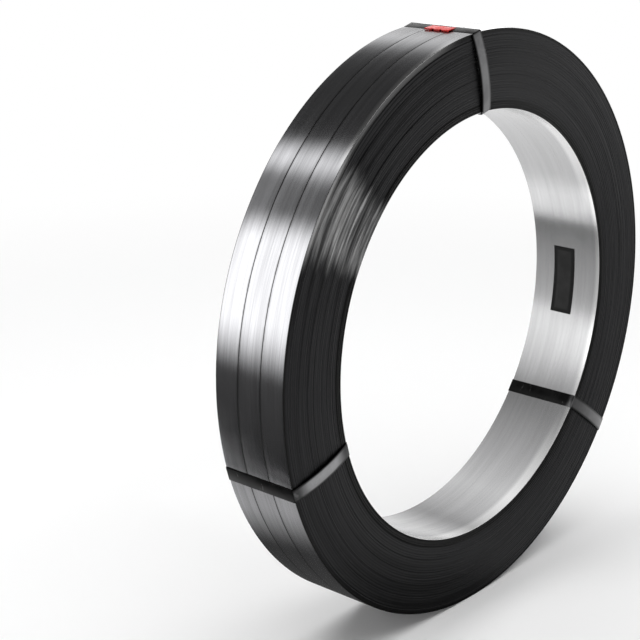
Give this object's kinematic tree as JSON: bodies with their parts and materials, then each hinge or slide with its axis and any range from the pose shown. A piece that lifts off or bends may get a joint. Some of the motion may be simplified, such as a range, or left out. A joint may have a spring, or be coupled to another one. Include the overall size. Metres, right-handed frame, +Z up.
{
  "type": "steel strapping coil",
  "caption": "Coil of flat steel strapping wound in lanes side by side, with an open bore, held by flat steel ties; stands on its rim.",
  "frame": {"origin": "on the floor under the middle of the coil, where its rim rests", "axes": "+Z up, Y along the coil's axis with the front end at -Y, +X to the right of the front end"},
  "size_m": [0.55, 0.0808, 0.5512],
  "materials": {
    "strap_steel": "dark waxed steel, bright in the bore",
    "tie_steel": "dark satin steel",
    "seal_red": "red paint",
    "label_black": "plain matt black"
  },
  "bodies": {
    "root": {"strap_coil": "strap_steel", "top_tie": "tie_steel", "left_tie": "tie_steel", "right_tie": "tie_steel", "tie_seal": "seal_red", "bore_label": "label_black"}
  },
  "joints": []
}
